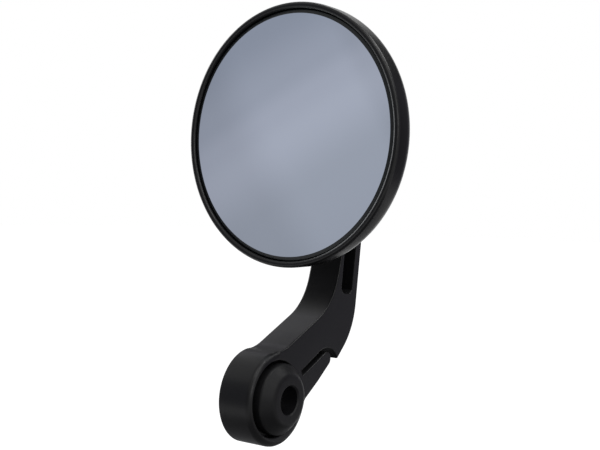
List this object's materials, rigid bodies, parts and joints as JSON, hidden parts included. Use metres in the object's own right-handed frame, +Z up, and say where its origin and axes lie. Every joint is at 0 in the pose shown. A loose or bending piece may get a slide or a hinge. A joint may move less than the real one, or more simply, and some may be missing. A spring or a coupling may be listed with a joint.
{
  "type": "motorcycle bar end mirror",
  "caption": "Round convex mirror in a domed black housing, ball-jointed to a short S-shaped arm whose round boss bolts to the end of a handlebar.",
  "frame": {"origin": "on the bar-end bolt's axis, in the plane of the arm's inboard face", "axes": "+X along the bolt towards the handlebar, +Y forwards and away from the rider, +Z up"},
  "size_m": [0.085, 0.0663, 0.1397],
  "materials": {
    "arm_black": "satin black anodised",
    "hub_black": "turned, satin black anodised",
    "housing_black": "semi-gloss black coat",
    "mirror": "second-surface mirror with a ground bevel",
    "steel": "zinc plated",
    "nylon": "natural nylon",
    "foam": "adhesive foam"
  },
  "bodies": {
    "arm_body": {"arm": "arm_black", "hub_bush": "hub_black", "ball_stud": "steel", "lock_nut": "steel", "lock_washer": "steel"},
    "liner_body": {"ball_liner": "nylon"},
    "head_body": {"mirror_housing": "housing_black", "mirror_glass": "mirror", "foam_pad": "foam", "pressure_plate": "steel", "plate_screws": "steel", "spring_washers": "steel"}
  },
  "joints": [
    {"name": "head_pan", "type": "hinge", "parent": "arm_body", "child": "liner_body", "pos_m": [-0.0062, 0.0262, 0.0824], "axis": [0, 0, 1], "range_deg": [-9, 14]},
    {"name": "head_tilt", "type": "hinge", "parent": "liner_body", "child": "head_body", "pos_m": [-0.0062, 0.0262, 0.0824], "axis": [0.999, -0.0436, 0], "range_deg": [-12, 12]}
  ]
}
